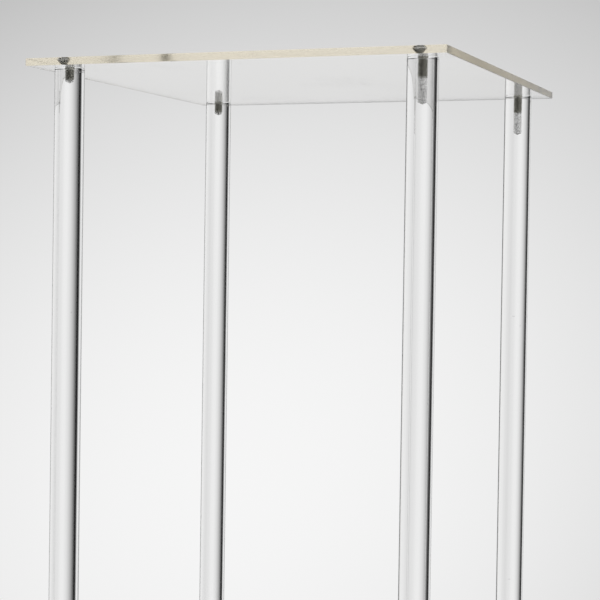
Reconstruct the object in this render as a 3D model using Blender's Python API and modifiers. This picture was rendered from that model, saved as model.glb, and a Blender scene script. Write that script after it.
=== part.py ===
"""Open acrylic display stand: two square plates joined by four solid round rods.

Each rod end has a tapped blind hole, and one countersunk screw through each plate corner holds it.
The two left rods have a shallow hole and a shorter screw at the top.
Four clear bumper feet lie under the base plate. Units are metres, +Z is up, +Y points to the back,
and the origin is on the resting plane, under the stand's centre.
"""

from math import cos, pi, radians, sin, tan

import bmesh
import bpy

# Driving dimensions
PLATE_SIDE = 0.260
PLATE_THICKNESS = 0.0045
ARRIS = 0.0003
ROD_LENGTH = 0.500
ROD_RADIUS = 0.009
ROD_INSET = 0.0193
ROD_END_CHAMFER = 0.0003
TAPPED_DEPTH = 0.0250
SHALLOW_TAPPED_DEPTH = 0.0080
DRILL_POINT_ANGLE = radians(118)
SCREW_LENGTH = 0.0160
SHORT_SCREW_LENGTH = 0.0120
SCREW_RADIUS = 0.0020
HEAD_RADIUS = 0.0042
HEAD_RIM = 0.0002
HEAD_BELOW_FACE = 0.0001
SCREW_TIP_CHAMFER = 0.0005
SOCKET_ACROSS_FLATS = 0.0025
SOCKET_DEPTH = 0.0016
FOOT_RADIUS = 0.0055
FOOT_TAPER = 0.0007
FOOT_EDGE_RADIUS = 0.0008
FOOT_HEIGHT = 0.0030
FOOT_INSET = 0.0335
GAP = 0.0003

# Sizes that follow from them
BASE_BOTTOM = FOOT_HEIGHT + GAP
ROD_BOTTOM = BASE_BOTTOM + PLATE_THICKNESS + GAP
TOP_BOTTOM = ROD_BOTTOM + ROD_LENGTH + GAP
OVERALL_HEIGHT = TOP_BOTTOM + PLATE_THICKNESS
ROD_OFFSET = PLATE_SIDE / 2 - ROD_INSET
FOOT_OFFSET = PLATE_SIDE / 2 - FOOT_INSET
HOLE_RADIUS = SCREW_RADIUS + GAP
HEAD_HEIGHT = HEAD_RIM + HEAD_RADIUS - SCREW_RADIUS

ROD_STEPS = 48
SCREW_STEPS = 24
CUTTER_MARGIN = 0.001
WELD_DISTANCE = 0.00001

CORNERS = {
    "front_left": (-1, -1),
    "front_right": (1, -1),
    "back_left": (-1, 1),
    "back_right": (1, 1),
}


def clear_scene():
    for obj in list(bpy.data.objects):
        bpy.data.objects.remove(obj, do_unlink=True)


def new_collection(name, is_helper=False):
    collection = bpy.data.collections.new(name)
    bpy.context.scene.collection.children.link(collection)
    collection.hide_render = is_helper
    return collection


def principled(name, colour, roughness, metallic=0.0, transmission=0.0, ior=1.5):
    material = bpy.data.materials.new(name)
    material.use_nodes = True
    shader = material.node_tree.nodes["Principled BSDF"]
    shader.inputs["Base Color"].default_value = (*colour, 1.0)
    shader.inputs["Roughness"].default_value = roughness
    shader.inputs["Metallic"].default_value = metallic
    shader.inputs["Transmission Weight"].default_value = transmission
    shader.inputs["IOR"].default_value = ior
    return material


def add_object(name, mesh, collection, material=None, location=(0.0, 0.0, 0.0)):
    obj = bpy.data.objects.new(name, mesh)
    obj.location = location
    collection.objects.link(obj)
    if material:
        mesh.materials.append(material)
    return obj


def turn(obj, steps):
    """Turns the profile in obj's mesh once about its Z axis."""
    screw = obj.modifiers.new("turn", "SCREW")
    screw.angle = 2 * pi
    screw.steps = steps
    screw.render_steps = steps
    screw.use_merge_vertices = True
    screw.merge_threshold = WELD_DISTANCE
    screw.use_smooth_shade = True


def profile_mesh(name, points):
    """A chain of (radius, height) points in the XZ plane, running down its outer side."""
    mesh = bpy.data.meshes.new(name)
    shape = bmesh.new()
    verts = [shape.verts.new((radius, 0.0, height)) for radius, height in points]
    for first, second in zip(verts, verts[1:]):
        shape.edges.new((first, second))
    shape.to_mesh(mesh)
    shape.free()
    return mesh


def screw_profile(length):
    """Head top at height 0, tip at -length: a 90 degree countersunk head on a plain shank."""
    return [
        (0.0, 0.0),
        (HEAD_RADIUS, 0.0),
        (HEAD_RADIUS, -HEAD_RIM),
        (SCREW_RADIUS, -HEAD_HEIGHT),
        (SCREW_RADIUS, -length + SCREW_TIP_CHAMFER),
        (SCREW_RADIUS - SCREW_TIP_CHAMFER, -length),
        (0.0, -length),
    ]


def countersink_profile():
    """The hole for one screw, with its mouth at height 0 and its way out below the sheet."""
    mouth = HEAD_RADIUS + GAP
    seat_depth = HEAD_RIM + HEAD_BELOW_FACE
    return [
        (0.0, CUTTER_MARGIN),
        (mouth, CUTTER_MARGIN),
        (mouth, -seat_depth),
        (HOLE_RADIUS, -seat_depth - (mouth - HOLE_RADIUS)),
        (HOLE_RADIUS, -PLATE_THICKNESS - CUTTER_MARGIN),
        (0.0, -PLATE_THICKNESS - CUTTER_MARGIN),
    ]


def rod_end_profile(depth):
    """The upper end of a rod centred on height 0, from the point of its blind hole out to its side."""
    end = ROD_LENGTH / 2
    point = HOLE_RADIUS / tan(DRILL_POINT_ANGLE / 2)
    return [
        (0.0, end - depth - point),
        (HOLE_RADIUS, end - depth),
        (HOLE_RADIUS, end),
        (ROD_RADIUS - ROD_END_CHAMFER, end),
        (ROD_RADIUS, end - ROD_END_CHAMFER),
    ]


def rod_profile(top_depth):
    lower = [(radius, -height) for radius, height in reversed(rod_end_profile(TAPPED_DEPTH))]
    return rod_end_profile(top_depth) + lower


def foot_profile():
    """A tapered bumper from height FOOT_HEIGHT down to 0, with a rounded lower edge."""
    tip_radius = FOOT_RADIUS - FOOT_TAPER
    centre = tip_radius - FOOT_EDGE_RADIUS
    arc_steps = 4
    points = [(0.0, FOOT_HEIGHT), (FOOT_RADIUS, FOOT_HEIGHT)]
    for step in range(arc_steps + 1):
        angle = -pi / 2 * step / arc_steps
        radius = centre + FOOT_EDGE_RADIUS * cos(angle)
        points.append((radius, FOOT_EDGE_RADIUS * (1 + sin(angle))))
    return points + [(0.0, 0.0)]


def cut(obj, cutter):
    boolean = obj.modifiers.new("cut_" + cutter.name, "BOOLEAN")
    boolean.operation = "DIFFERENCE"
    boolean.solver = "EXACT"
    boolean.object = cutter


def make_cutter(name, mesh, collection, location):
    cutter = add_object(name, mesh, collection, location=location)
    cutter.hide_render = True
    cutter.display_type = "WIRE"
    return cutter


def make_plate(name, bottom, faces_up, parts, cutters, material):
    """A square sheet with a countersunk hole over each rod; faces_up says which face holds the heads."""
    mesh = bpy.data.meshes.new(name)
    shape = bmesh.new()
    bmesh.ops.create_cube(shape, size=1.0)
    bmesh.ops.scale(shape, vec=(PLATE_SIDE, PLATE_SIDE, PLATE_THICKNESS), verts=shape.verts)
    shape.to_mesh(mesh)
    shape.free()
    plate = add_object(name, mesh, parts, material, (0.0, 0.0, bottom + PLATE_THICKNESS / 2))
    arris = plate.modifiers.new("arris", "BEVEL")
    arris.width = ARRIS
    arris.segments = 1
    face = bottom + (PLATE_THICKNESS if faces_up else 0.0)
    hole = profile_mesh(name + "_hole", countersink_profile())
    for corner, (side_x, side_y) in CORNERS.items():
        place = (side_x * ROD_OFFSET, side_y * ROD_OFFSET, face)
        cutter = make_cutter(f"{name}_hole_{corner}", hole, cutters, place)
        cutter.rotation_euler.x = 0.0 if faces_up else pi
        turn(cutter, SCREW_STEPS)
        cut(plate, cutter)
    return plate


def make_rods(parts, material):
    middle = ROD_BOTTOM + ROD_LENGTH / 2
    for corner, (side_x, side_y) in CORNERS.items():
        top_depth = SHALLOW_TAPPED_DEPTH if side_x < 0 else TAPPED_DEPTH
        mesh = profile_mesh("rod_" + corner, rod_profile(top_depth))
        place = (side_x * ROD_OFFSET, side_y * ROD_OFFSET, middle)
        turn(add_object("rod_" + corner, mesh, parts, material, place), ROD_STEPS)


def socket_mesh():
    """A hexagonal prism for the drive socket, standing a little above height 0 so that it cuts cleanly."""
    mesh = bpy.data.meshes.new("socket")
    shape = bmesh.new()
    corner_radius = SOCKET_ACROSS_FLATS / 2 / cos(pi / 6)
    bmesh.ops.create_cone(
        shape,
        cap_ends=True,
        segments=6,
        radius1=corner_radius,
        radius2=corner_radius,
        depth=SOCKET_DEPTH + CUTTER_MARGIN,
    )
    drop = (SOCKET_DEPTH + CUTTER_MARGIN) / 2 - CUTTER_MARGIN
    bmesh.ops.translate(shape, vec=(0.0, 0.0, -drop), verts=shape.verts)
    shape.to_mesh(mesh)
    shape.free()
    return mesh


def make_screws(prefix, head_height, faces_up, parts, cutters, material):
    socket = socket_mesh()
    for corner, (side_x, side_y) in CORNERS.items():
        name = f"{prefix}_{corner}"
        length = SHORT_SCREW_LENGTH if faces_up and side_x < 0 else SCREW_LENGTH
        mesh = profile_mesh(name, screw_profile(length))
        place = (side_x * ROD_OFFSET, side_y * ROD_OFFSET, head_height)
        screw = add_object(name, mesh, parts, material, place)
        screw.rotation_euler.x = 0.0 if faces_up else pi
        turn(screw, SCREW_STEPS)
        cutter = make_cutter(f"{prefix}_socket_{corner}", socket, cutters, place)
        cutter.rotation_euler.x = screw.rotation_euler.x
        cut(screw, cutter)


def make_feet(parts, material):
    mesh = profile_mesh("foot", foot_profile())
    mesh.materials.append(material)
    for corner, (side_x, side_y) in CORNERS.items():
        place = (side_x * FOOT_OFFSET, side_y * FOOT_OFFSET, 0.0)
        turn(add_object("foot_" + corner, mesh, parts, location=place), SCREW_STEPS)


def main():
    clear_scene()
    parts = new_collection("acrylic_display_stand")
    cutters = new_collection("cutters", is_helper=True)
    sheet = principled("sheet_acrylic", (0.90, 0.89, 0.82), 0.03, transmission=1.0, ior=1.49)
    rod = principled("rod_acrylic", (0.94, 0.95, 0.96), 0.03, transmission=1.0, ior=1.49)
    steel = principled("screw_steel", (0.42, 0.42, 0.40), 0.35, metallic=1.0)
    bumper = principled("bumper", (0.88, 0.88, 0.86), 0.25, transmission=0.8)

    make_plate("top_plate", TOP_BOTTOM, True, parts, cutters, sheet)
    make_plate("base_plate", BASE_BOTTOM, False, parts, cutters, sheet)
    make_rods(parts, rod)
    make_screws("top_screw", OVERALL_HEIGHT - HEAD_BELOW_FACE, True, parts, cutters, steel)
    make_screws("base_screw", BASE_BOTTOM + HEAD_BELOW_FACE, False, parts, cutters, steel)
    make_feet(parts, bumper)


main()
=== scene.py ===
"""Acrylic display stand: a clear square top and base joined by four round rods.

Laid out as a Blender add-on and run as a script. Each operator makes one group of the stand's
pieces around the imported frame, and the last one makes the studio. Units are metres, +Z is up and
+Y is the back.
"""

from math import cos, hypot, log, pi, radians, sin, tan

import bmesh
import bpy
from bpy.props import FloatProperty, FloatVectorProperty, IntProperty, PointerProperty
from mathutils import Matrix, Vector


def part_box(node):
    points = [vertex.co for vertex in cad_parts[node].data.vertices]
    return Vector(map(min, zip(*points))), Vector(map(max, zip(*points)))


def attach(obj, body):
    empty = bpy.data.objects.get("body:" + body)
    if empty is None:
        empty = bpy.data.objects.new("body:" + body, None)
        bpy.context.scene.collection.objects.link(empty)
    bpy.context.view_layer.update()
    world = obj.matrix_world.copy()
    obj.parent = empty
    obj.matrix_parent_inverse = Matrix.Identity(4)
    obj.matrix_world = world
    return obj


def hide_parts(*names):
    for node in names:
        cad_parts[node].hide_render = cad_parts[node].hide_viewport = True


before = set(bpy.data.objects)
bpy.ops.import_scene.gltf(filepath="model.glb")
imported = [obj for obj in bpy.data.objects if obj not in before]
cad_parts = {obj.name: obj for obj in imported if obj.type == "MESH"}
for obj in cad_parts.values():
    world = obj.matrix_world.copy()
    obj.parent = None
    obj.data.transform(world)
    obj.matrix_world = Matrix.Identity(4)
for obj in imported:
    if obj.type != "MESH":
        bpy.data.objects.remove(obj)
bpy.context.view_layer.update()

bl_info = {
    "name": "Acrylic display stand",
    "version": (1, 0, 0),
    "blender": (4, 5, 0),
    "location": "View3D > Sidebar > Display stand",
    "description": "Builds a clear display stand and its studio around a packed frame",
    "category": "Object",
}

CORNERS = ("front_left", "back_left", "front_right", "back_right")
ALL_CORNERS = -1
PLATE_LOW, PLATE_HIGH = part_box("top_plate")
BASE_LOW, BASE_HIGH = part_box("base_plate")
ROD_LOW, ROD_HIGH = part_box("rod_front_right")
TOP_SCREW_LOW, TOP_SCREW_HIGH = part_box("top_screw_front_right")
BASE_SCREW_LOW, BASE_SCREW_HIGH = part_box("base_screw_front_right")
FOOT_LOW, FOOT_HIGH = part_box("foot_front_right")

WELD = 0.000001
SHARP_ANGLE = radians(30)
DEEPEST_BOUNCE = 48


def half_width(low, high):
    return (high.x - low.x) / 2


def middle(low, high):
    return (high.x + low.x) / 2


# Settings


def length_property(name, description, default):
    return FloatProperty(
        name=name, description=description, default=default, unit="LENGTH", subtype="DISTANCE"
    )


def angle_property(name, description, default):
    return FloatProperty(
        name=name, description=description, default=default, unit="ROTATION", subtype="ANGLE"
    )


def colour_property(name, description, default):
    return FloatVectorProperty(name=name, description=description, default=default, subtype="COLOR")


class StandSizes(bpy.types.PropertyGroup):
    """Sizes of the stand's pieces."""

    plate_side: length_property(
        "Plate side",
        "Side of the square top and base",
        PLATE_HIGH.x - PLATE_LOW.x,
    )
    plate_thickness: length_property(
        "Plate thickness",
        "Thickness of the sheet",
        PLATE_HIGH.z - PLATE_LOW.z,
    )
    arris: length_property(
        "Arris",
        "Chamfer scraped along the sheet's edges",
        0.0003,
    )
    rod_radius: length_property(
        "Rod radius",
        "Radius of the four uprights",
        half_width(ROD_LOW, ROD_HIGH),
    )
    rod_spacing: length_property(
        "Rod spacing",
        "Distance between neighbouring rods' axes",
        2 * middle(ROD_LOW, ROD_HIGH),
    )
    rod_chamfer: length_property(
        "Rod end chamfer",
        "Chamfer round each end of a rod",
        0.0002,
    )
    contact_gap: length_property(
        "Contact gap",
        "Film of air where two pieces touch",
        0.00002,
    )
    hole_depth: length_property(
        "Tapped depth",
        "Depth of the tapped hole in a rod's end, without its drill point",
        0.0250,
    )
    shallow_hole_depth: length_property(
        "Shallow tapped depth",
        "Depth of the hole over a shorter screw, without its drill point",
        0.0080,
    )
    thread_pitch: length_property(
        "Thread pitch",
        "Pitch of the screws and of the tapped holes",
        0.0007,
    )
    thread_radius: length_property(
        "Thread radius",
        "Mean radius of the screw thread",
        0.00184,
    )
    thread_swing: length_property(
        "Thread swing",
        "How far the screw thread goes in and out of its mean radius",
        0.00017,
    )
    thread_bite: length_property(
        "Thread bite",
        "How far the screw presses into the acrylic round it",
        0.00002,
    )
    head_radius: length_property(
        "Head radius",
        "Radius of a countersunk head",
        half_width(TOP_SCREW_LOW, TOP_SCREW_HIGH),
    )
    head_rim: length_property(
        "Head rim",
        "Straight rim above the head's cone",
        0.0002,
    )
    socket_flats: length_property(
        "Socket across flats",
        "Width of the hexagonal drive socket",
        0.0025,
    )
    socket_depth: length_property(
        "Socket depth",
        "Depth of the hexagonal drive socket",
        0.0016,
    )
    foot_radius: length_property(
        "Foot radius",
        "Radius of a bumper foot where it is stuck on",
        half_width(FOOT_LOW, FOOT_HIGH),
    )
    foot_spacing: length_property(
        "Foot spacing",
        "Distance between neighbouring feet",
        2 * middle(FOOT_LOW, FOOT_HIGH),
    )
    round_steps: IntProperty(
        name="Round steps",
        description="Flats round a rod",
        default=96,
        min=24,
    )
    small_steps: IntProperty(
        name="Small round steps",
        description="Flats round a screw, a foot and a screw hole; a multiple of six",
        default=36,
        min=12,
    )
    thread_rows: IntProperty(
        name="Rows per thread turn",
        description="Mesh rows along one pitch of thread",
        default=6,
        min=4,
    )


class StandColours(bpy.types.PropertyGroup):
    """Colours of the finishes."""

    steel: colour_property(
        "Screw steel",
        "Base colour of the screws",
        (0.29, 0.285, 0.25),
    )
    bumper: colour_property(
        "Bumper",
        "Base colour of the clear feet",
        (0.90, 0.90, 0.88),
    )
    sheet_loss: colour_property(
        "Sheet tint",
        "What light keeps of its colour in a metre of the sheet",
        (0.705, 0.55, 0.287),
    )
    rod_loss: colour_property(
        "Rod tint",
        "What light keeps of its colour in a metre of the rod",
        (0.80, 0.80, 0.78),
    )
    floor: colour_property(
        "Floor",
        "Colour of the studio floor",
        (0.86, 0.86, 0.86),
    )


class StudioSettings(bpy.types.PropertyGroup):
    """The camera and the backdrop's light."""

    lens: FloatProperty(
        name="Lens",
        description="Focal length on a 36 mm sensor, in millimetres",
        default=100.8,
    )
    heading: angle_property(
        "Heading",
        "Turn of the camera from the back direction towards the right",
        radians(-21.016),
    )
    tilt: angle_property(
        "Tilt",
        "How far the camera looks up",
        radians(-1.2995),
    )
    roll: angle_property(
        "Roll",
        "Turn of the camera about its own line of sight",
        radians(0.8571),
    )
    place: FloatVectorProperty(
        name="Place",
        description="Where the camera stands",
        default=(0.38383, -1.00618, 0.3943),
        unit="LENGTH",
        subtype="TRANSLATION",
    )
    glow_centre: FloatVectorProperty(
        name="Glow centre",
        description="Heading and height of the brightest part of the backdrop, in degrees",
        size=2,
        default=(-22.85, -7.46),
    )
    glow_width: FloatVectorProperty(
        name="Glow width",
        description="Turn and rise over which the backdrop would lose all its light, in degrees",
        size=2,
        default=(34.4, 30.2),
    )
    glow_lean: FloatProperty(
        name="Glow lean",
        description="How far the glow leans to one side as it rises",
        default=-0.30,
    )
    glow_level: FloatProperty(
        name="Glow",
        description="Brightness of the backdrop at the glow's centre",
        default=0.917,
    )
    pale_level: FloatProperty(
        name="Pale wall",
        description="Brightness of the backdrop far from the glow",
        default=0.74,
    )
    overhead_level: FloatProperty(
        name="Overhead light",
        description="Brightness of the soft light above",
        default=1.3,
    )
    mirrored_share: FloatProperty(
        name="Mirrored share",
        description="Share of the surroundings' light that mirror reflections show",
        default=0.72,
    )
    floor_radius: length_property(
        "Floor radius",
        "Radius at which the floor has faded out",
        0.78,
    )


def sizes():
    return bpy.context.scene.stand_sizes


def colours():
    return bpy.context.scene.stand_colours


def studio():
    return bpy.context.scene.stand_studio


# Node wiring


class Wiring:
    """Adds nodes to a tree from left to right and links them as they are made."""

    def __init__(self, tree):
        self.tree = tree
        self.column = 0

    def add(self, kind, settings=None, **inputs):
        node = self.tree.nodes.new(kind)
        self.column += 1
        node.location = (220 * self.column, -160 * (self.column % 4))
        for name, value in (settings or {}).items():
            setattr(node, name, value)
        for name, value in inputs.items():
            self.feed(node, name.replace("_", " "), value)
        return node

    def feed(self, node, name, value):
        socket = node.inputs[name]
        if isinstance(value, bpy.types.NodeSocket):
            self.tree.links.new(value, socket)
        else:
            socket.default_value = value

    def group(self, tree, **inputs):
        """A node group in this tree; returns its first output."""
        kind = tree.bl_idname.replace("Tree", "Group")
        return self.add(kind, {"node_tree": tree}, **inputs).outputs[0]

    def noise(self, vector, scale, detail):
        return self.add("ShaderNodeTexNoise", Vector=vector, Scale=scale, Detail=detail).outputs[0]

    def mix(self, factor, first, second, colour=False):
        """A blend of two numbers, or of two colours."""
        node = self.add("ShaderNodeMix", {"data_type": "RGBA" if colour else "FLOAT"})
        for index, value in zip((0, 6, 7) if colour else (0, 2, 3), (factor, first, second)):
            self.feed(node, index, value)
        return node.outputs[2 if colour else 0]

    def math(self, operation, *values):
        """One Math node; values are numbers or sockets."""
        node = self.add("ShaderNodeMath", {"operation": operation})
        for index, value in enumerate(values):
            self.feed(node, index, value)
        return node.outputs[0]

    def vector_math(self, operation, *values, out=0):
        node = self.add("ShaderNodeVectorMath", {"operation": operation})
        for index, value in enumerate(values):
            self.feed(node, index, value)
        return node.outputs[out]

    def ramp(self, factor, stops, interpolation="EASE"):
        """A colour ramp of greys; stops are (position, level)."""
        node = self.add("ShaderNodeValToRGB", Fac=factor)
        node.color_ramp.interpolation = interpolation
        elements = node.color_ramp.elements
        while len(elements) < len(stops):
            elements.new(0.5)
        for element, (position, _) in zip(elements, stops):
            element.position = position
        for element, (_, level) in zip(elements, stops):
            element.color = (level, level, level, 1.0)
        return node.outputs["Color"]

    def map_range(self, value, low, high, new_low, new_high, smooth=True):
        """A clamped Map Range."""
        kind = "SMOOTHSTEP" if smooth else "LINEAR"
        node = self.add(
            "ShaderNodeMapRange",
            {"interpolation_type": kind},
            Value=value,
            From_Min=low,
            From_Max=high,
            To_Min=new_low,
            To_Max=new_high,
        )
        return node.outputs["Result"]


def add_socket(tree, name, kind, default=None, output=False):
    way = "OUTPUT" if output else "INPUT"
    socket = tree.interface.new_socket(name=name, in_out=way, socket_type=kind)
    if default is not None:
        socket.default_value = default
    return socket


# Geometry trees


def turned_solid_group():
    """Turns an outline once about the Z axis, with its thread and its hexagonal socket."""
    tree = bpy.data.node_groups.new("turned_solid", "GeometryNodeTree")
    add_socket(tree, "Outline", "NodeSocketGeometry")
    add_socket(tree, "Segments", "NodeSocketInt", 36)
    add_socket(tree, "Thread Pitch", "NodeSocketFloat", 0.0007)
    add_socket(tree, "Solid", "NodeSocketGeometry", output=True)
    wires = Wiring(tree)
    given = wires.add("NodeGroupInput").outputs
    outline = wires.add("GeometryNodeAttributeDomainSize", Geometry=given["Outline"])
    rows = outline.outputs["Point Count"]
    columns = wires.math("ADD", given["Segments"], 1.0)
    grid = wires.add("GeometryNodeMeshGrid", Vertices_X=rows, Vertices_Y=columns)
    index = wires.add("GeometryNodeInputIndex").outputs[0]
    row = wires.math("FLOOR", wires.math("DIVIDE", wires.math("ADD", index, 0.5), columns))
    column = wires.math("SUBTRACT", index, wires.math("MULTIPLY", row, columns))
    angle = wires.math("MULTIPLY", wires.math("DIVIDE", column, given["Segments"]), 2 * pi)

    def sampled(kind, value):
        node = wires.add("GeometryNodeSampleIndex", {"data_type": kind}, Geometry=given["Outline"])
        wires.feed(node, "Value", value)
        wires.feed(node, "Index", row)
        return node.outputs["Value"]

    def outline_value(name):
        node = wires.add("GeometryNodeInputNamedAttribute", {"data_type": "FLOAT"}, Name=name)
        return sampled("FLOAT", node.outputs["Attribute"])

    point = wires.add(
        "ShaderNodeSeparateXYZ",
        Vector=sampled("FLOAT_VECTOR", wires.add("GeometryNodeInputPosition").outputs[0]),
    ).outputs
    turns = wires.math("MULTIPLY", wires.math("DIVIDE", point["Z"], given["Thread Pitch"]), 2 * pi)
    wave = wires.math("COSINE", wires.math("SUBTRACT", turns, angle))
    radius = wires.math("MULTIPLY_ADD", outline_value("thread"), wave, point["X"])
    to_flat = wires.math("COSINE", wires.math("WRAP", angle, pi / 6, -pi / 6))
    flat = wires.math("DIVIDE", point["X"], to_flat)
    hexagon = outline_value("hexagon")
    radius = wires.math("MULTIPLY_ADD", wires.math("SUBTRACT", flat, radius), hexagon, radius)
    place = wires.add(
        "ShaderNodeCombineXYZ",
        X=wires.math("MULTIPLY", radius, wires.math("COSINE", angle)),
        Y=wires.math("MULTIPLY", radius, wires.math("SINE", angle)),
        Z=point["Z"],
    ).outputs[0]
    shaped = wires.add("GeometryNodeSetPosition", Geometry=grid.outputs["Mesh"], Position=place)
    merged = wires.add("GeometryNodeMergeByDistance", Geometry=shaped.outputs[0], Distance=WELD)
    smooth = wires.add("GeometryNodeSetShadeSmooth", Geometry=merged.outputs[0])
    result = wires.add("NodeGroupOutput")
    wires.feed(result, "Solid", smooth.outputs[0])
    return tree


def corner_pattern_group():
    """Puts a piece on the corners of a square, or on one of them."""
    tree = bpy.data.node_groups.new("corner_pattern", "GeometryNodeTree")
    add_socket(tree, "Piece", "NodeSocketGeometry")
    add_socket(tree, "Spacing", "NodeSocketFloat", 0.2)
    add_socket(tree, "Corner", "NodeSocketInt", ALL_CORNERS)
    add_socket(tree, "Pieces", "NodeSocketGeometry", output=True)
    wires = Wiring(tree)
    given = wires.add("NodeGroupInput").outputs
    spacing = given["Spacing"]
    square = wires.add(
        "GeometryNodeMeshGrid", Size_X=spacing, Size_Y=spacing, Vertices_X=2, Vertices_Y=2
    )
    index = wires.add("GeometryNodeInputIndex").outputs[0]
    this_one = wires.math("COMPARE", index, given["Corner"], 0.1)
    every_one = wires.math("LESS_THAN", given["Corner"], -0.5)
    chosen = wires.math("MAXIMUM", this_one, every_one)
    placed = wires.add(
        "GeometryNodeInstanceOnPoints",
        Points=square.outputs["Mesh"],
        Selection=chosen,
        Instance=given["Piece"],
    )
    result = wires.add("NodeGroupOutput")
    wires.feed(result, "Pieces", placed.outputs[0])
    return tree


def finish_tree(wires, geometry, material):
    """The end of each piece's tree: plain geometry with one material."""
    real = wires.add("GeometryNodeRealizeInstances", Geometry=geometry)
    painted = wires.add("GeometryNodeSetMaterial", Geometry=real.outputs[0], Material=material)
    result = wires.add("NodeGroupOutput")
    wires.feed(result, "Geometry", painted.outputs[0])


def turned_piece_tree(turned_solid, corner_pattern):
    """An outline turned into a solid on one corner of the stand."""
    tree = bpy.data.node_groups.new("turned_piece", "GeometryNodeTree")
    add_socket(tree, "Geometry", "NodeSocketGeometry")
    add_socket(tree, "Segments", "NodeSocketInt", 36)
    add_socket(tree, "Thread Pitch", "NodeSocketFloat", 0.0007)
    add_socket(tree, "Spacing", "NodeSocketFloat", 0.2)
    add_socket(tree, "Corner", "NodeSocketInt", 0)
    add_socket(tree, "Material", "NodeSocketMaterial")
    add_socket(tree, "Geometry", "NodeSocketGeometry", output=True)
    wires = Wiring(tree)
    given = wires.add("NodeGroupInput").outputs
    solid = wires.group(
        turned_solid,
        Outline=given["Geometry"],
        Segments=given["Segments"],
        Thread_Pitch=given["Thread Pitch"],
    )
    placed = wires.group(
        corner_pattern, Piece=solid, Spacing=given["Spacing"], Corner=given["Corner"]
    )
    finish_tree(wires, placed, given["Material"])
    return tree


def drilled_sheet_tree(turned_solid, corner_pattern):
    """A sheet with a turned hole cut through it at every corner."""
    tree = bpy.data.node_groups.new("drilled_sheet", "GeometryNodeTree")
    add_socket(tree, "Geometry", "NodeSocketGeometry")
    add_socket(tree, "Hole Outline", "NodeSocketObject")
    add_socket(tree, "Segments", "NodeSocketInt", 36)
    add_socket(tree, "Spacing", "NodeSocketFloat", 0.2)
    add_socket(tree, "Material", "NodeSocketMaterial")
    add_socket(tree, "Geometry", "NodeSocketGeometry", output=True)
    wires = Wiring(tree)
    given = wires.add("NodeGroupInput").outputs
    hole = wires.add("GeometryNodeObjectInfo", Object=given["Hole Outline"])
    cutter = wires.group(
        turned_solid,
        Outline=hole.outputs["Geometry"],
        Segments=given["Segments"],
        Thread_Pitch=0.0,
    )
    placed = wires.group(
        corner_pattern, Piece=cutter, Spacing=given["Spacing"], Corner=ALL_CORNERS
    )
    cutters = wires.add("GeometryNodeRealizeInstances", Geometry=placed)
    drilled = wires.add("GeometryNodeMeshBoolean", {"operation": "DIFFERENCE", "solver": "EXACT"})
    wires.feed(drilled, "Mesh 1", given["Geometry"])
    wires.feed(drilled, "Mesh 2", cutters.outputs[0])
    finish_tree(wires, drilled.outputs["Mesh"], given["Material"])
    return tree


def geometry_trees():
    """The two piece trees, made once."""
    if "turned_piece" not in bpy.data.node_groups:
        turned_solid = turned_solid_group()
        corner_pattern = corner_pattern_group()
        turned_piece_tree(turned_solid, corner_pattern)
        drilled_sheet_tree(turned_solid, corner_pattern)
    return bpy.data.node_groups["turned_piece"], bpy.data.node_groups["drilled_sheet"]


def outline_mesh(name, points):
    """A chain of an outline's points, with its thread and hexagon columns as attributes."""
    mesh = bpy.data.meshes.new(name)
    edges = [(index, index + 1) for index in range(len(points) - 1)]
    mesh.from_pydata([(point[0], 0.0, point[1]) for point in points], edges, [])
    for column, attribute in ((2, "thread"), (3, "hexagon")):
        values = mesh.attributes.new(attribute, "FLOAT", "POINT")
        values.data.foreach_set("value", [point[column] for point in points])
    return mesh


def grow(name, mesh, tree, values):
    """Runs a geometry tree on a mesh and returns an object with the plain result."""
    piece = bpy.data.objects.new(name, mesh)
    bpy.context.scene.collection.objects.link(piece)
    modifier = piece.modifiers.new("maker", "NODES")
    modifier.node_group = tree
    identifiers = {
        item.name: item.identifier
        for item in tree.interface.items_tree
        if item.item_type == "SOCKET" and item.in_out == "INPUT"
    }
    for name_of_input, value in values.items():
        modifier[identifiers[name_of_input]] = value
    bpy.context.view_layer.update()
    evaluated = piece.evaluated_get(bpy.context.evaluated_depsgraph_get())
    made = bpy.data.meshes.new_from_object(evaluated)
    piece.modifiers.remove(modifier)
    piece.data = made
    made.name = name
    bpy.data.meshes.remove(mesh)
    tidy_mesh(made)
    return piece


def tidy_mesh(mesh):
    """Points every face outwards and keeps real corners crisp."""
    shape = bmesh.new()
    shape.from_mesh(mesh)
    bmesh.ops.recalc_face_normals(shape, faces=shape.faces)
    if shape.calc_volume(signed=True) < 0:
        bmesh.ops.reverse_faces(shape, faces=shape.faces)
    if any(not edge.is_manifold for edge in shape.edges):
        raise RuntimeError(f"{mesh.name} isn't closed")
    shape.to_mesh(mesh)
    shape.free()
    mesh.shade_smooth()
    mesh.set_sharp_from_angle(angle=SHARP_ANGLE)


def mark_cut(piece, roughness_of):
    """Marks how roughly each face was sawn or tapped, for the finishes; in the rods it also sets
    where painted shade darkens the tapped holes.
    """
    cut = piece.data.attributes.new("cut", "FLOAT", "FACE")
    levels = [float(roughness_of(face.center)) for face in piece.data.polygons]
    cut.data.foreach_set("value", levels)


def hand_over(piece, node):
    """Gives a finished piece to the frame in place of its CAD node."""
    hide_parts(node)
    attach(piece, "root")


# Finishes

ACRYLIC_IOR = 1.49
BUMPER_IOR = 1.48
DUST_COLOUR = (0.55, 0.54, 0.52, 1.0)
SAWN_ROUGHNESS = 0.17
RIGHT_EDGE_SAWN = 2.6
TAPPED_ROUGHNESS = 0.45
# Painted shade: how far the tapped holes' faces, and their torn flecks, are darkened
TAPPED_PAINTED_SHADE = 0.13
TORN_PAINTED_SHADE = 0.66
TORN_HEIGHT = 0.00012
DRAW_LINE_HEIGHT = 0.0000008
SAW_MARK_HEIGHT = 0.000012
SHEET_WAVE_HEIGHT = 0.00002
BUMPER_WAVE_HEIGHT = 0.00002
TURNING_PITCH = 0.00022
TURNING_HEIGHT = 0.000004


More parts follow.
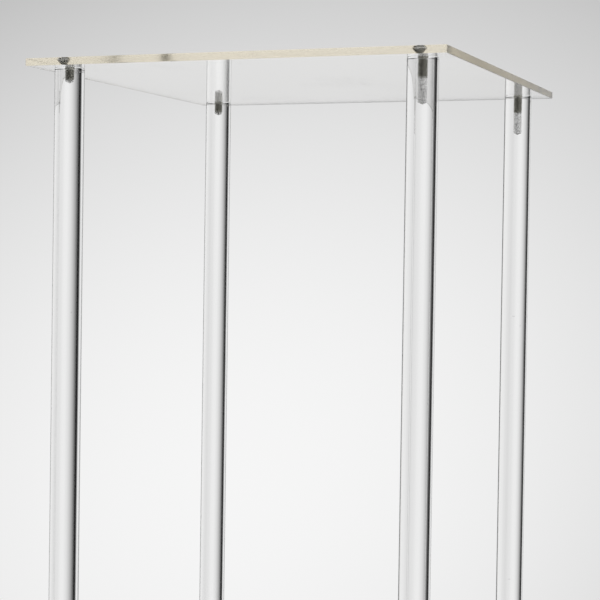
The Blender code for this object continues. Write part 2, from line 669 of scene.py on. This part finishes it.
def shader_group(name, inputs, outputs, build):
    """A shader node group, made once."""
    if name in bpy.data.node_groups:
        return bpy.data.node_groups[name]
    tree = bpy.data.node_groups.new(name, "ShaderNodeTree")
    for socket, kind, default in inputs:
        add_socket(tree, socket, kind, default)
    for socket, kind in outputs:
        add_socket(tree, socket, kind, output=True)
    wires = Wiring(tree)
    given = wires.add("NodeGroupInput").outputs
    result = wires.add("NodeGroupOutput")
    for socket, value in build(wires, given).items():
        wires.feed(result, socket, value)
    return tree


def dust_specks():
    """Sparse round specks on a surface, as a mask."""

    def build(wires, given):
        cells = wires.add(
            "ShaderNodeTexVoronoi",
            {"feature": "F1"},
            Vector=given["Vector"],
            Scale=given["Scale"],
        )
        chosen = wires.add("ShaderNodeSeparateColor", Color=cells.outputs["Color"]).outputs
        keep = wires.math("LESS_THAN", chosen[0], given["Share"])
        size = wires.math("MULTIPLY_ADD", chosen[1], 0.10, 0.03)
        near = wires.math("LESS_THAN", cells.outputs["Distance"], size)
        return {"Mask": wires.math("MULTIPLY", keep, near)}

    inputs = (
        ("Vector", "NodeSocketVector", None),
        ("Scale", "NodeSocketFloat", 200.0),
        ("Share", "NodeSocketFloat", 0.1),
    )
    return shader_group("dust_specks", inputs, (("Mask", "NodeSocketFloat"),), build)


def fine_scratches():
    """Thin crossing hairlines in worn patches, as a mask."""

    def build(wires, given):
        lines = None
        for turn, stretch in ((0.4, 28.0), (1.9, 19.0), (2.7, 33.0)):
            turned = wires.add(
                "ShaderNodeMapping",
                Vector=given["Vector"],
                Rotation=(turn * 0.7, turn * 0.5, turn),
                Scale=(stretch, 1.0, 1.0),
            )
            noise = wires.noise(turned.outputs[0], given["Scale"], 1.0)
            away = wires.math("ABSOLUTE", wires.math("SUBTRACT", noise, 0.5))
            line = wires.map_range(away, 0.0, 0.006, 1.0, 0.0)
            lines = line if lines is None else wires.math("MAXIMUM", lines, line)
        worn = wires.map_range(wires.noise(given["Vector"], 17.0, 2.0), 0.48, 0.70, 0.0, 1.0)
        shown = wires.math("MULTIPLY", lines, worn)
        return {"Mask": wires.math("MULTIPLY", shown, given["Amount"])}

    inputs = (
        ("Vector", "NodeSocketVector", None),
        ("Scale", "NodeSocketFloat", 30.0),
        ("Amount", "NodeSocketFloat", 1.0),
    )
    return shader_group("fine_scratches", inputs, (("Mask", "NodeSocketFloat"),), build)


def slow_waves():
    """A drawn or cast surface that isn't quite flat, as a height."""

    def build(wires, given):
        stretched = wires.vector_math("MULTIPLY", given["Vector"], given["Stretch"])
        return {"Height": wires.noise(stretched, given["Scale"], 1.5)}

    inputs = (
        ("Vector", "NodeSocketVector", None),
        ("Stretch", "NodeSocketVector", (1.0, 1.0, 1.0)),
        ("Scale", "NodeSocketFloat", 20.0),
    )
    return shader_group("slow_waves", inputs, (("Height", "NodeSocketFloat"),), build)


def new_material(name, **values):
    """Returns a material, its wiring, its shader with these plain values, and object coordinates."""
    material = bpy.data.materials.new(name)
    material.use_nodes = True
    wires = Wiring(material.node_tree)
    shader = material.node_tree.nodes["Principled BSDF"]
    for socket, value in values.items():
        shader.inputs[socket.replace("_", " ")].default_value = value
    place = wires.add("ShaderNodeTexCoord").outputs["Object"]
    return material, wires, shader, place


def absorb(material, wires, kept):
    """Plain absorption: light keeps this share of its colour over a metre of the material."""
    loss = wires.add("ShaderNodeVolumeAbsorption")
    strongest = max(-log(channel) for channel in kept)
    tint = [1.0 + log(channel) / strongest for channel in kept]
    loss.inputs["Color"].default_value = (*tint, 1.0)
    loss.inputs["Density"].default_value = strongest
    output = material.node_tree.nodes["Material Output"]
    material.node_tree.links.new(loss.outputs[0], output.inputs["Volume"])


def emboss(wires, shader, height, strength=1.0, distance=1.0):
    """Makes a height show in the shader's normal."""
    bump = wires.add("ShaderNodeBump", Strength=strength, Distance=distance, Height=height)
    wires.feed(shader, "Normal", bump.outputs[0])


def sheet_material():
    """Polished acrylic sheet with sawn edges."""
    material, wires, shader, place = new_material(
        "polished_sheet", IOR=ACRYLIC_IOR, Transmission_Weight=1.0
    )
    absorb(material, wires, colours().sheet_loss)
    sawn = wires.add("ShaderNodeAttribute", {"attribute_name": "cut"}).outputs["Fac"]
    dust = wires.group(dust_specks(), Vector=place, Scale=160.0, Share=0.05)
    hairlines = wires.group(fine_scratches(), Vector=place, Scale=22.0, Amount=1.0)
    faces = wires.math("MULTIPLY_ADD", dust, 0.35, wires.math("MULTIPLY", hairlines, 0.12))
    edges = wires.math("MULTIPLY", sawn, SAWN_ROUGHNESS)
    wires.feed(shader, "Roughness", wires.math("ADD", faces, edges))
    waves = wires.group(slow_waves(), Vector=place, Scale=14.0)
    marks = wires.group(slow_waves(), Vector=place, Stretch=(1.0, 1.0, 40.0), Scale=60.0)
    sawn_marks = wires.math("MULTIPLY", marks, sawn)
    wavy = wires.math("MULTIPLY", waves, SHEET_WAVE_HEIGHT)
    emboss(wires, shader, wires.math("MULTIPLY_ADD", sawn_marks, SAW_MARK_HEIGHT, wavy))
    wires.feed(shader, "Base Color", wires.ramp(dust, ((0.0, 1.0), (1.0, 0.75)), "LINEAR"))
    return material


def rod_material():
    """Drawn acrylic rod: clear, with faint draw lines along it and rough, torn tapped holes darkened
    with painted shade.
    """
    material, wires, shader, place = new_material(
        "drawn_rod", IOR=ACRYLIC_IOR, Transmission_Weight=1.0
    )
    absorb(material, wires, colours().rod_loss)
    dust = wires.group(dust_specks(), Vector=place, Scale=240.0, Share=0.04)
    hairlines = wires.group(fine_scratches(), Vector=place, Scale=40.0, Amount=0.6)
    side = wires.math("MULTIPLY_ADD", dust, 0.4, wires.math("MULTIPLY", hairlines, 0.1))
    tapped = wires.add("ShaderNodeAttribute", {"attribute_name": "cut"}).outputs["Fac"]
    wires.feed(shader, "Roughness", wires.math("MULTIPLY_ADD", tapped, TAPPED_ROUGHNESS, side))
    lines = wires.group(slow_waves(), Vector=place, Stretch=(1.0, 1.0, 0.01), Scale=900.0)
    crumbs = wires.map_range(wires.noise(place, 800.0, 2.5), 0.44, 0.60, 0.0, 1.0)
    torn_and_painted_shade = wires.math("MULTIPLY", crumbs, tapped)
    drawn = wires.math("MULTIPLY", lines, DRAW_LINE_HEIGHT)
    emboss(wires, shader, wires.math("MULTIPLY_ADD", torn_and_painted_shade, TORN_HEIGHT, drawn))
    # Painted shade: the tapped holes' faces are darkened a little and their torn flecks much more,
    # with dust specks darkened on top
    tapped_painted_shade = wires.math("MULTIPLY", tapped, TAPPED_PAINTED_SHADE)
    hole_painted_shade = wires.math("MULTIPLY_ADD", torn_and_painted_shade, TORN_PAINTED_SHADE, tapped_painted_shade)
    dust_and_painted_shade = wires.math("MULTIPLY_ADD", dust, 0.3, hole_painted_shade)
    wires.feed(shader, "Base Color", wires.ramp(dust_and_painted_shade, ((0.0, 1.0), (1.0, 0.0)), "LINEAR"))
    return material


def steel_material():
    """Turned steel: rings about each screw's axis and dull, handled patches."""
    material, wires, shader, place = new_material("turned_steel", Metallic=1.0)
    half = sizes().rod_spacing / 2
    folded = wires.vector_math("ABSOLUTE", place)
    local = wires.vector_math("SUBTRACT", folded, (half, half, 0.0))
    flat = wires.vector_math("MULTIPLY", local, (1.0, 1.0, 0.0))
    radius = wires.vector_math("LENGTH", flat, out="Value")
    rings = wires.math("SINE", wires.math("MULTIPLY", radius, 2 * pi / TURNING_PITCH))
    hairlines = wires.group(fine_scratches(), Vector=place, Scale=160.0, Amount=1.0)
    patches = wires.noise(place, 420.0, 3.0)
    dull = wires.math("MULTIPLY_ADD", patches, 0.25, 0.22)
    wires.feed(shader, "Roughness", wires.math("MULTIPLY_ADD", hairlines, 0.1, dull))
    steel = colours().steel
    darker, lighter = ((*[share * level for level in steel], 1.0) for share in (0.75, 1.2))
    wires.feed(shader, "Base Color", wires.mix(patches, darker, lighter, colour=True))
    emboss(wires, shader, rings, strength=0.3, distance=TURNING_HEIGHT)
    return material


def bumper_material():
    """Clear soft plastic with a little haze and dust underneath."""
    clear = (*colours().bumper, 1.0)
    material, wires, shader, place = new_material(
        "clear_bumper", IOR=BUMPER_IOR, Transmission_Weight=0.85, Base_Color=clear
    )
    dust = wires.group(dust_specks(), Vector=place, Scale=900.0, Share=0.2)
    hazy = wires.math("MULTIPLY_ADD", wires.noise(place, 260.0, 3.0), 0.16, 0.06)
    wires.feed(shader, "Roughness", wires.math("MULTIPLY_ADD", dust, 0.3, hazy))
    dusty = wires.math("MULTIPLY", dust, 0.6)
    wires.feed(shader, "Base Color", wires.mix(dusty, clear, DUST_COLOUR, colour=True))
    waves = wires.group(slow_waves(), Vector=place, Scale=400.0)
    emboss(wires, shader, waves, distance=BUMPER_WAVE_HEIGHT)
    return material


def finish(name, maker):
    """A finish by name, made once."""
    return bpy.data.materials.get(name) or maker()


# Outlines of the turned pieces: rows of (radius, height, thread swing, 1 where it is hexagonal)

THREAD_LEAD = 0.0007
DRILL_POINT_ANGLE = radians(118)
EDGE_BREAK = 0.00008
HEAD_BELOW_FACE = 0.0001
CUTTER_MARGIN = 0.001


def thread_rows(start, end, radius, swing):
    """Rows of thread from one height to another, fading in and out over a short lead."""
    size = sizes()
    step = size.thread_pitch / size.thread_rows
    count = max(2, round(abs(end - start) / step))
    rows = []
    for row in range(count + 1):
        height = start + (end - start) * row / count
        fade = min(1.0, abs(height - start) / THREAD_LEAD, abs(height - end) / THREAD_LEAD)
        rows.append((radius, height, swing * fade, 0.0))
    return rows


def tapped_hole(mouth, depth, way):
    """A blind tapped hole from its drill point out to its mouth; way is +1 if it opens upwards."""
    size = sizes()
    radius = size.thread_radius - size.thread_bite
    bottom = mouth - way * depth
    point = radius / tan(DRILL_POINT_ANGLE / 2)
    lip = 0.0003
    rows = [(0.0, bottom - way * point, 0.0, 0.0)]
    rows += thread_rows(bottom, mouth - way * lip, radius, size.thread_swing)
    rows.append((radius + size.thread_swing - size.thread_bite, mouth, 0.0, 0.0))
    return rows


def rod_outline(low, high, top_depth, base_depth):
    """A rod from the point of its upper hole, down its side, to the point of its lower hole."""
    size = sizes()
    top = tapped_hole(high, top_depth, 1)
    base = tapped_hole(low, base_depth, -1)
    radius = size.rod_radius
    chamfer = size.rod_chamfer
    side = [
        (radius - chamfer, high, 0.0, 0.0),
        (radius, high - chamfer, 0.0, 0.0),
        (radius, low + chamfer, 0.0, 0.0),
        (radius - chamfer, low, 0.0, 0.0),
    ]
    return top + side + base[::-1]


def screw_outline(face, tip, way):
    """A countersunk screw from its socket to its tip; way is +1 if its head looks up."""
    size = sizes()
    shank = size.thread_radius
    flats = size.socket_flats / 2
    rim = size.head_rim
    neck = rim + size.head_radius - shank - size.thread_swing
    past_sheet = 0.0003
    below_sheet = size.plate_thickness + past_sheet
    tip_chamfer = 0.0005
    tip_flat = 0.0004
    socket_point = 0.0004
    socket_fillet = 0.00006
    socket_mouth = 0.0002
    mouth_flare = 1.22
    floor_share = 0.96
    floor_of_socket = face - way * size.socket_depth
    rows = [
        (0.0, floor_of_socket - way * socket_point, 0.0, 0.0),
        (flats * floor_share, floor_of_socket, 0.0, 1.0),
        (flats, floor_of_socket + way * socket_fillet, 0.0, 1.0),
        (flats, face - way * socket_mouth, 0.0, 1.0),
        (flats * mouth_flare, face, 0.0, 0.0),
        (size.head_radius - EDGE_BREAK, face, 0.0, 0.0),
        (size.head_radius, face - way * EDGE_BREAK, 0.0, 0.0),
        (size.head_radius, face - way * rim, 0.0, 0.0),
        (shank + size.thread_swing, face - way * neck, 0.0, 0.0),
        (shank + size.thread_swing, face - way * below_sheet, 0.0, 0.0),
    ]
    threaded = face - way * (below_sheet + past_sheet)
    rows += thread_rows(threaded, tip + way * tip_chamfer, shank, size.thread_swing)
    return rows + [(shank - tip_flat, tip, 0.0, 0.0), (0.0, tip, 0.0, 0.0)]


def hole_outline(face, way):
    """The countersunk hole through a sheet, from outside its face to beyond its other side."""
    size = sizes()
    mouth = size.head_radius - size.thread_bite / 2
    shank = size.thread_radius + size.thread_swing - size.thread_bite / 2
    seat = size.head_rim + HEAD_BELOW_FACE
    start = face + way * CUTTER_MARGIN
    end = face - way * (size.plate_thickness + CUTTER_MARGIN)
    return [
        (0.0, start, 0.0, 0.0),
        (mouth, start, 0.0, 0.0),
        (mouth, face - way * seat, 0.0, 0.0),
        (shank, face - way * (seat + mouth - shank), 0.0, 0.0),
        (shank, end, 0.0, 0.0),
        (0.0, end, 0.0, 0.0),
    ]


def foot_outline(top):
    """A bumper foot: a thin sticky disc, a tapered side and a rounded lower edge."""
    radius = sizes().foot_radius
    disc = radius - 0.0003
    disc_height = 0.00015
    shoulder = radius - 0.0001
    shoulder_height = 0.00018
    side_height = 0.0003
    taper = 0.0007
    edge = 0.0008
    steps = 8
    rows = [
        (0.0, top, 0.0, 0.0),
        (disc, top, 0.0, 0.0),
        (disc, top - disc_height, 0.0, 0.0),
        (shoulder, top - shoulder_height, 0.0, 0.0),
        (radius, top - side_height, 0.0, 0.0),
    ]
    for step in range(steps + 1):
        angle = -pi / 2 * step / steps
        across = radius - taper - edge + edge * cos(angle)
        rows.append((across, edge * (1 + sin(angle)), 0.0, 0.0))
    return rows + [(0.0, 0.0, 0.0, 0.0)]


# Operators


class StandOperator(bpy.types.Operator):
    """Shared by the stand's operators: how their pieces' names start, and the name of a material
    slot, which is not used.
    """

    bl_options = {"REGISTER", "UNDO"}
    look = "clear_"
    cad_slot = ""

    def turned(self, node, outline, steps, spacing, corner, material):
        """One turned piece on one corner, in place of its CAD node."""
        turned_piece, _ = geometry_trees()
        values = {
            "Segments": steps,
            "Thread Pitch": sizes().thread_pitch,
            "Spacing": spacing,
            "Corner": corner,
            "Material": material,
        }
        piece = grow(self.look + node, outline_mesh(node, outline), turned_piece, values)
        hand_over(piece, node)
        return piece


class STAND_OT_plates(StandOperator):
    """Makes the top and the base: square sheets with sawn edges and countersunk holes"""

    bl_idname = "stand.plates"
    bl_label = "Plates"
    cad_slot = "sheet_acrylic"

    def slab(self, name, low, high):
        """The sheet before it is drilled, with its arrises scraped."""
        size = sizes()
        extent = (size.plate_side, size.plate_side, high.z - low.z)
        mesh = bpy.data.meshes.new(name)
        shape = bmesh.new()
        bmesh.ops.create_cube(shape, size=1.0)
        bmesh.ops.scale(shape, vec=extent, verts=shape.verts)
        bmesh.ops.translate(shape, vec=(0.0, 0.0, (high.z + low.z) / 2), verts=shape.verts)
        bmesh.ops.bevel(
            shape,
            geom=shape.edges[:] + shape.verts[:],
            offset=size.arris,
            offset_type="OFFSET",
            segments=1,
            profile=0.5,
            affect="EDGES",
        )
        shape.to_mesh(mesh)
        shape.free()
        return mesh

    def plate(self, node, low, high, way):
        """One drilled sheet; way is +1 if the screw heads are in its upper face."""
        size = sizes()
        name = self.look + node
        face = high.z if way > 0 else low.z
        hole = bpy.data.objects.new("hole", outline_mesh("hole", hole_outline(face, way)))
        bpy.context.scene.collection.objects.link(hole)
        values = {
            "Hole Outline": hole,
            "Segments": 2 * size.small_steps,
            "Spacing": size.rod_spacing,
            "Material": finish("polished_sheet", sheet_material),
        }
        plate = grow(name, self.slab(name, low, high), geometry_trees()[1], values)
        bpy.data.objects.remove(hole, do_unlink=True)
        outer = size.plate_side / 2 - 2 * size.arris

        def sawn(centre):
            if centre.x > outer:
                return RIGHT_EDGE_SAWN
            return max(-centre.x, abs(centre.y)) > outer

        mark_cut(plate, sawn)
        hand_over(plate, node)

    def execute(self, context):
        self.plate("top_plate", PLATE_LOW, PLATE_HIGH, 1)
        self.plate("base_plate", BASE_LOW, BASE_HIGH, -1)
        return {"FINISHED"}


class STAND_OT_rods(StandOperator):
    """Makes the four rods with a tapped blind hole in each end"""

    bl_idname = "stand.rods"
    bl_label = "Rods"
    cad_slot = "rod_acrylic"

    def execute(self, context):
        size = sizes()
        material = finish("drawn_rod", rod_material)
        low = BASE_HIGH.z + size.contact_gap
        high = PLATE_LOW.z - size.contact_gap
        half = size.rod_spacing / 2
        hole_reach = size.thread_radius + 4 * size.thread_swing

        def tapped(centre):
            return hypot(abs(centre.x) - half, abs(centre.y) - half) < hole_reach

        for corner, name in enumerate(CORNERS):
            top_depth = size.shallow_hole_depth if name.endswith("left") else size.hole_depth
            outline = rod_outline(low, high, top_depth, size.hole_depth)
            rod = self.turned(
                "rod_" + name, outline, size.round_steps, size.rod_spacing, corner, material
            )
            mark_cut(rod, tapped)
        return {"FINISHED"}


class STAND_OT_screws(StandOperator):
    """Makes the eight countersunk socket screws"""

    bl_idname = "stand.screws"
    bl_label = "Screws"
    look = "steel_"
    cad_slot = "screw_steel"

    def execute(self, context):
        size = sizes()
        material = finish("turned_steel", steel_material)
        base = screw_outline(BASE_SCREW_LOW.z, BASE_SCREW_HIGH.z, -1)
        for corner, name in enumerate(CORNERS):
            tip, face = (point.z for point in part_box("top_screw_" + name))
            top = screw_outline(face, tip, 1)
            for kind, outline in (("top_screw_", top), ("base_screw_", base)):
                self.turned(
                    kind + name, outline, size.small_steps, size.rod_spacing, corner, material
                )
        return {"FINISHED"}


class STAND_OT_feet(StandOperator):
    """Makes the four clear bumper feet"""

    bl_idname = "stand.feet"
    bl_label = "Feet"
    cad_slot = "bumper"

    def execute(self, context):
        size = sizes()
        material = finish("clear_bumper", bumper_material)
        outline = foot_outline(BASE_LOW.z - size.contact_gap)
        for corner, name in enumerate(CORNERS):
            self.turned(
                "foot_" + name, outline, size.small_steps, size.foot_spacing, corner, material
            )
        return {"FINISHED"}


# Brightness of the studio round the stand, away from the backdrop: (heading in degrees, level)
SURROUND = (
    (-180, 0.42),
    (-170, 0.24),
    (-163, 0.10),
    (-155, 0.16),
    (-140, 0.42),
    (-118, 0.42),
    (-103, 0.25),
    (-93, 0.42),
    (-86, 0.80),
    (-78, 0.90),
    (-60, 0.88),
    (-35, 0.86),
    (-21, 0.87),
    (-9, 0.79),
    (0, 0.74),
    (8, 0.77),
    (18, 0.85),
    (32, 0.87),
    (60, 0.85),
    (100, 0.76),
    (135, 0.70),
    (160, 0.50),
    (180, 0.42),
)
# Dark flags at the sides: (heading in degrees, share of light taken away)
FLAGS = (
    (-78, 0.0),
    (-73, 0.14),
    (-70, 0.45),
    (-67, 0.84),
    (-64, 1.0),
    (-58, 1.0),
    (-54, 0.88),
    (-51, 0.76),
    (-48, 0.61),
    (-45, 0.49),
    (-42, 0.37),
    (-39, 0.26),
    (-36, 0.17),
    (-33, 0.09),
    (-26, 0.0),
    (42, 0.0),
    (50, 0.97),
    (68, 0.97),
    (76, 0.0),
)
# Where one part of the studio gives way to the next, in degrees
BESIDE_GLOW = (12.0, 20.0)
ABOVE_GLOW = (9.0, 15.0)
BELOW_GLOW = (-20.0, -13.0)
FLAGS_FOOT = (-24.0, -13.0)
FLAGS_TOP = (40.0, 55.0)
OVERHEAD = (50.0, 70.0)
DIMMEST_GLOW = 0.45
# The floor lies just below the feet, and fades from here to its rim
FLOOR_DROP = 0.0002
FLOOR_FADE_START = 0.35
FLOOR_SEGMENTS = 96


class STAND_OT_stage(StandOperator):
    """Makes the pale floor, the studio's light and the camera"""

    bl_idname = "stand.stage"
    bl_label = "Stage"

    def floor(self):
        """A pale disc that fades into the backdrop."""
        settings = studio()
        mesh = bpy.data.meshes.new("floor")
        shape = bmesh.new()
        bmesh.ops.create_circle(
            shape, cap_ends=True, segments=FLOOR_SEGMENTS, radius=settings.floor_radius
        )
        bmesh.ops.translate(shape, vec=(0.0, 0.0, -FLOOR_DROP), verts=shape.verts)
        shape.to_mesh(mesh)
        shape.free()
        floor = bpy.data.objects.new("floor", mesh)
        bpy.context.scene.collection.objects.link(floor)
        material, wires, shader, place = new_material("studio_floor", Roughness=0.7)
        shade = wires.map_range(wires.noise(place, 900.0, 3.0), 0.3, 0.7, 0.97, 1.0)
        colour = wires.vector_math("SCALE", tuple(colours().floor))
        wires.tree.links.new(shade, colour.node.inputs["Scale"])
        wires.feed(shader, "Base Color", colour)
        reach = wires.vector_math("LENGTH", place, out="Value")
        fade = wires.map_range(reach, FLOOR_FADE_START, settings.floor_radius, 1.0, 0.0)
        wires.feed(shader, "Alpha", fade)
        floor.data.materials.append(material)

    def world(self):
        """The backdrop behind the stand, and the light and dark round it that the acrylic shows."""
        settings = studio()
        world = bpy.data.worlds.new("studio")
        world.use_nodes = True
        bpy.context.scene.world = world
        wires = Wiring(world.node_tree)
        way = wires.vector_math("NORMALIZE", wires.add("ShaderNodeTexCoord").outputs["Generated"])
        part = wires.add("ShaderNodeSeparateXYZ", Vector=way).outputs
        heading = wires.math("MULTIPLY", wires.math("ARCTAN2", part["X"], part["Y"]), 180 / pi)
        rise = wires.math("MULTIPLY", wires.math("ARCSINE", part["Z"]), 180 / pi)

        def offset(value, axis):
            from_centre = wires.math("SUBTRACT", value, settings.glow_centre[axis])
            return wires.math("DIVIDE", from_centre, settings.glow_width[axis])

        across = offset(heading, 0)
        above = offset(rise, 1)
        lean = wires.math("MULTIPLY", wires.math("MULTIPLY", across, above), settings.glow_lean)
        loss = wires.math("MULTIPLY_ADD", above, above, lean)
        loss = wires.math("MULTIPLY_ADD", across, across, loss)
        glow = wires.math("SUBTRACT", settings.glow_level, loss)
        glow = wires.math("MAXIMUM", glow, DIMMEST_GLOW)
        turned = wires.math("SUBTRACT", heading, settings.glow_centre[0])
        away = wires.map_range(wires.math("ABSOLUTE", turned), *BESIDE_GLOW, 0.0, 1.0)
        away = wires.math("MAXIMUM", away, wires.map_range(rise, *ABOVE_GLOW, 0.0, 1.0))
        away = wires.math("MAXIMUM", away, wires.map_range(rise, *BELOW_GLOW, 1.0, 0.0))
        backdrop = wires.mix(away, glow, settings.pale_level)

        round_way = wires.map_range(heading, -180.0, 180.0, 0.0, 1.0, smooth=False)
        surround, flags = (
            wires.ramp(round_way, [((angle + 180) / 360, level) for angle, level in stops])
            for stops in (SURROUND, FLAGS)
        )
        foot = wires.map_range(rise, *FLAGS_FOOT, 0.0, 1.0)
        top = wires.map_range(rise, *FLAGS_TOP, 1.0, 0.0)
        flagged = wires.math("MULTIPLY", flags, wires.math("MULTIPLY", foot, top))
        level = wires.math("MULTIPLY", surround, wires.math("SUBTRACT", 1.0, flagged))
        overhead = wires.map_range(rise, *OVERHEAD, 0.0, 1.0)
        lit = wires.mix(overhead, level, settings.overhead_level)
        # A ray through clear acrylic also counts as glossy, so mirror rays are told another way
        rays = wires.add("ShaderNodeLightPath").outputs
        mirror_ray = wires.math("SUBTRACT", rays["Is Reflection Ray"], rays["Is Diffuse Ray"])
        seen = wires.math("MULTIPLY", lit, wires.mix(mirror_ray, 1.0, settings.mirrored_share))
        shown = wires.mix(rays["Is Camera Ray"], seen, backdrop)
        wires.feed(world.node_tree.nodes["Background"], "Color", shown)

    def camera(self):
        """The camera, from its heading, tilt and roll."""
        settings = studio()
        data = bpy.data.cameras.new("camera")
        data.sensor_width = 36.0
        data.lens = settings.lens
        data.clip_start = 0.01
        data.clip_end = 50.0
        heading, tilt, roll = settings.heading, settings.tilt, settings.roll
        ahead = Vector((sin(heading) * cos(tilt), cos(heading) * cos(tilt), sin(tilt)))
        level_right = Vector((cos(heading), -sin(heading), 0.0))
        level_up = level_right.cross(ahead)
        right = cos(roll) * level_right + sin(roll) * level_up
        up = -sin(roll) * level_right + cos(roll) * level_up
        turn = Matrix((right, up, -ahead)).transposed().to_4x4()
        camera = bpy.data.objects.new("camera", data)
        bpy.context.scene.collection.objects.link(camera)
        camera.matrix_world = Matrix.Translation(settings.place) @ turn
        bpy.context.scene.camera = camera

    def execute(self, context):
        self.floor()
        self.world()
        self.camera()
        scene = context.scene
        scene.view_settings.view_transform = "Standard"
        scene.view_settings.look = "None"
        # Blurred mirror paths would darken the plates
        scene.cycles.blur_glossy = 0.0
        scene.cycles.max_bounces = DEEPEST_BOUNCE
        scene.cycles.transmission_bounces = DEEPEST_BOUNCE
        scene.cycles.glossy_bounces = DEEPEST_BOUNCE
        scene.cycles.transparent_max_bounces = DEEPEST_BOUNCE
        return {"FINISHED"}


class STAND_PT_panel(bpy.types.Panel):
    """Lists the stand's settings and makers"""

    bl_label = "Display stand"
    bl_space_type = "VIEW_3D"
    bl_region_type = "UI"
    bl_category = "Display stand"

    def draw(self, context):
        for group in (sizes(), colours(), studio()):
            box = self.layout.box()
            for name in group.bl_rna.properties.keys():
                if name not in ("rna_type", "name"):
                    box.prop(group, name)
        for maker in MAKERS:
            self.layout.operator(maker.bl_idname)


MAKERS = (STAND_OT_plates, STAND_OT_rods, STAND_OT_screws, STAND_OT_feet, STAND_OT_stage)
CLASSES = (StandSizes, StandColours, StudioSettings, *MAKERS, STAND_PT_panel)


def register():
    for item in CLASSES:
        bpy.utils.register_class(item)
    bpy.types.Scene.stand_sizes = PointerProperty(type=StandSizes)
    bpy.types.Scene.stand_colours = PointerProperty(type=StandColours)
    bpy.types.Scene.stand_studio = PointerProperty(type=StudioSettings)


def unregister():
    del bpy.types.Scene.stand_studio
    del bpy.types.Scene.stand_colours
    del bpy.types.Scene.stand_sizes
    for item in reversed(CLASSES):
        bpy.utils.unregister_class(item)


def main():
    register()
    bpy.ops.stand.plates()
    bpy.ops.stand.rods()
    bpy.ops.stand.screws()
    bpy.ops.stand.feet()
    bpy.ops.stand.stage()


if __name__ == "__main__":
    main()
